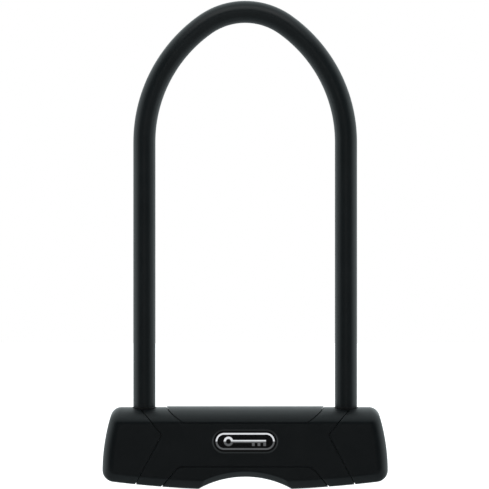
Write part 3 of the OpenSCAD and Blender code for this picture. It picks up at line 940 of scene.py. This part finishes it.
# Bow lamp: size, power, place and the point it aims at
LAMP_SIZE = (0.3, 0.12)
LAMP_POWER = 0.11
LAMP_AT = (0, -0.12, 0.42)
LAMP_AIM = (0, 0, 0.285)

# Lighting by direction: start and end on an axis, then the strength there. Y is back, Z is up.
BACK_TILT = 0.12
ROOM_Y = (-0.75, 0.05, 0.02, 1.1)
ROOM_Z = (-0.95, -0.1, 0.46, 1.0)
REAR_Y = (0.5, 0.95, 0.0, 0.45)
REAR_Z = (0.05, 0.35, 1.0, 0.0)
CEILING_Z = (0.35, 0.8, 0.0, 0.95)
CEILING_Y = (-0.4, 0.1, 0.2, 1.0)
LOW_FRONT_Z = (-0.075, -0.05, 0.13, 0.03)
LOW_FRONT_Y = (-0.9, -0.5, 1, 0)
CARD_X = (0.05, 0.08, 1, 0)
CARD_FOOT_Z = (0.0, 0.02, 0, 1)
CARD_HEAD_Z = (0.15, 0.2, 1, 0)
CARD_Y = (-0.5, 0.0, 1, 0)
COOL_WHITE = (0.9, 1.0, 1.02, 1)
WHITE = (1, 1, 1, 1)

scene = bpy.context.scene
scene.view_settings.view_transform = "Standard"
scene.view_settings.look = "None"


def add_camera():
    data = bpy.data.cameras.new("camera")
    data.lens = LENS
    data.sensor_width = SENSOR
    data.clip_end = 50
    camera = bpy.data.objects.new("camera", data)
    scene.collection.objects.link(camera)
    camera.location = (FRAME_CENTRE[0], -FRAME_W * LENS / SENSOR, FRAME_CENTRE[1])
    camera.rotation_euler = (math.pi / 2, 0, 0)
    scene.camera = camera


def add_floor():
    """A pale floor that gives no reflection in the object."""
    mesh = bpy.data.meshes.new("floor")
    bm = bmesh.new()
    bmesh.ops.create_circle(bm, cap_ends=True, radius=FLOOR_R, segments=96)
    bm.to_mesh(mesh)
    bm.free()
    floor = bpy.data.objects.new("floor", mesh)
    scene.collection.objects.link(floor)
    floor.location = (0, 0, FLOOR_Z)
    floor.visible_glossy = False
    s = Shader("floor", specular=0.2)
    s.colour(s.noise(3, 2), (0.44, 0.44, 0.44), (0.46, 0.46, 0.46))
    s.bsdf.inputs["Roughness"].default_value = 0.7
    s.bsdf.inputs["Emission Color"].default_value = WHITE
    s.bsdf.inputs["Emission Strength"].default_value = 1.0
    mesh.materials.append(s.material)


def add_bow_lamp():
    """A soft lamp just above and in front of the bow, which lights the sleeve only."""
    data = bpy.data.lights.new("bow_light", "AREA")
    data.shape = "RECTANGLE"
    data.size, data.size_y = LAMP_SIZE
    data.energy = LAMP_POWER
    lamp = bpy.data.objects.new("bow_light", data)
    scene.collection.objects.link(lamp)
    lamp.location = LAMP_AT
    aim = Vector(LAMP_AIM) - lamp.location
    lamp.rotation_euler = aim.to_track_quat("-Z", "Y").to_euler()
    lamp.visible_camera = False
    lit = bpy.data.collections.new("bow_light_receivers")
    lit.objects.link(sleeve)
    lamp.light_linking.receiver_collection = lit


def add_sky():
    """White to the camera; to the object bright behind, above and beside it and dark in front."""
    world = bpy.data.worlds.new("studio")
    world.use_nodes = True
    scene.world = world
    tree = world.node_tree
    tree.nodes.clear()
    new, link = tree.nodes.new, tree.links.new

    def ranged(value, start, end, at_start, at_end):
        node = new("ShaderNodeMapRange")
        node.interpolation_type = "SMOOTHSTEP"
        node.inputs["From Min"].default_value = start
        node.inputs["From Max"].default_value = end
        node.inputs["To Min"].default_value = at_start
        node.inputs["To Max"].default_value = at_end
        link(value, node.inputs["Value"])
        return node.outputs["Result"]

    def maths(operation, a, b=0):
        node = new("ShaderNodeMath")
        node.operation = operation
        for socket, value in zip(node.inputs, (a, b)):
            if isinstance(value, (int, float)):
                socket.default_value = value
            else:
                link(value, socket)
        return node.outputs["Value"]

    def product(first, *others):
        for other in others:
            first = maths("MULTIPLY", first, other)
        return first

    split = new("ShaderNodeSeparateXYZ")
    link(new("ShaderNodeTexCoord").outputs["Generated"], split.inputs["Vector"])
    x, y, z = split.outputs
    back = maths("SUBTRACT", y, maths("MULTIPLY", maths("MAXIMUM", z), BACK_TILT))
    rear = product(ranged(y, *REAR_Y), ranged(z, *REAR_Z))
    room = product(ranged(back, *ROOM_Y), ranged(z, *ROOM_Z), maths("SUBTRACT", 1, rear))
    ceiling = product(ranged(z, *CEILING_Z), ranged(y, *CEILING_Y))
    low_front = product(ranged(z, *LOW_FRONT_Z), ranged(y, *LOW_FRONT_Y))
    card = product(
        ranged(maths("ABSOLUTE", x), *CARD_X),
        ranged(z, *CARD_FOOT_Z),
        ranged(z, *CARD_HEAD_Z),
        ranged(y, *CARD_Y),
    )
    both = new("ShaderNodeAddShader")
    parts = (
        (maths("MAXIMUM", room, ceiling), COOL_WHITE),
        (maths("ADD", card, low_front), WHITE),
    )
    for socket, (strength, tint) in zip(both.inputs, parts):
        lighting = new("ShaderNodeBackground")
        lighting.inputs["Color"].default_value = tint
        link(strength, lighting.inputs["Strength"])
        link(lighting.outputs[0], socket)
    shown = new("ShaderNodeBackground")
    shown.inputs["Color"].default_value = WHITE
    mix = new("ShaderNodeMixShader")
    link(new("ShaderNodeLightPath").outputs["Is Camera Ray"], mix.inputs["Fac"])
    link(both.outputs[0], mix.inputs[1])
    link(shown.outputs[0], mix.inputs[2])
    result = new("ShaderNodeOutputWorld")
    link(mix.outputs[0], result.inputs["Surface"])


add_camera()
add_floor()
add_bow_lamp()
add_sky()
